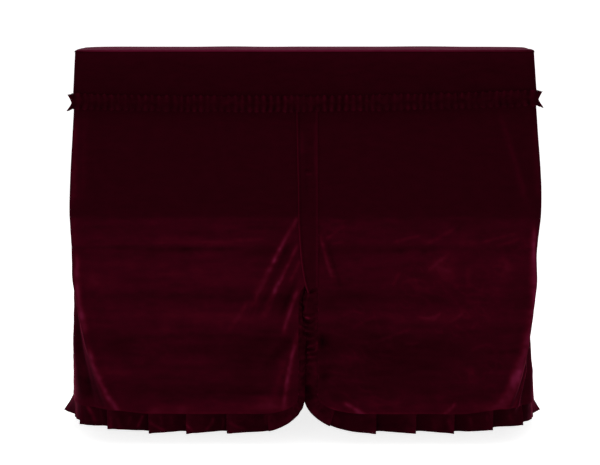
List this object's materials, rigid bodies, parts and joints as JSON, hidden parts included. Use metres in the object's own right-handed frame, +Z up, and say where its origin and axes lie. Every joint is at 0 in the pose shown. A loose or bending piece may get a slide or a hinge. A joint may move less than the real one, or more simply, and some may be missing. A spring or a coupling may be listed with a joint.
{
  "type": "piano cover",
  "caption": "Fitted velvet cover for an upright piano, with a gathered ruche, a front opening and a pleated hem frill.",
  "frame": {"origin": "under the middle of the top panel, where the piano's lid carries the cover", "axes": "+X to the right as seen from the front, -Y to the front, +Z up"},
  "size_m": [1.632, 0.6572, 1.2466],
  "materials": {
    "velvet": "dark burgundy velvet with a pink sheen",
    "velvet_frill": "the same velvet, gathered, darker in its folds"
  },
  "bodies": {
    "root": {"top_panel": "velvet", "back_panel": "velvet", "side_panel_left": "velvet", "side_panel_right": "velvet", "front_panel_left": "velvet", "front_panel_right": "velvet", "centre_band": "velvet", "valance_front": "velvet", "valance_left": "velvet", "valance_right": "velvet", "ruche": "velvet_frill", "slit_frill_left": "velvet_frill", "slit_frill_right": "velvet_frill", "hem_frill_front_left": "velvet_frill", "hem_frill_front_right": "velvet_frill", "hem_frill_side_left": "velvet_frill", "hem_frill_side_right": "velvet_frill"}
  },
  "joints": []
}
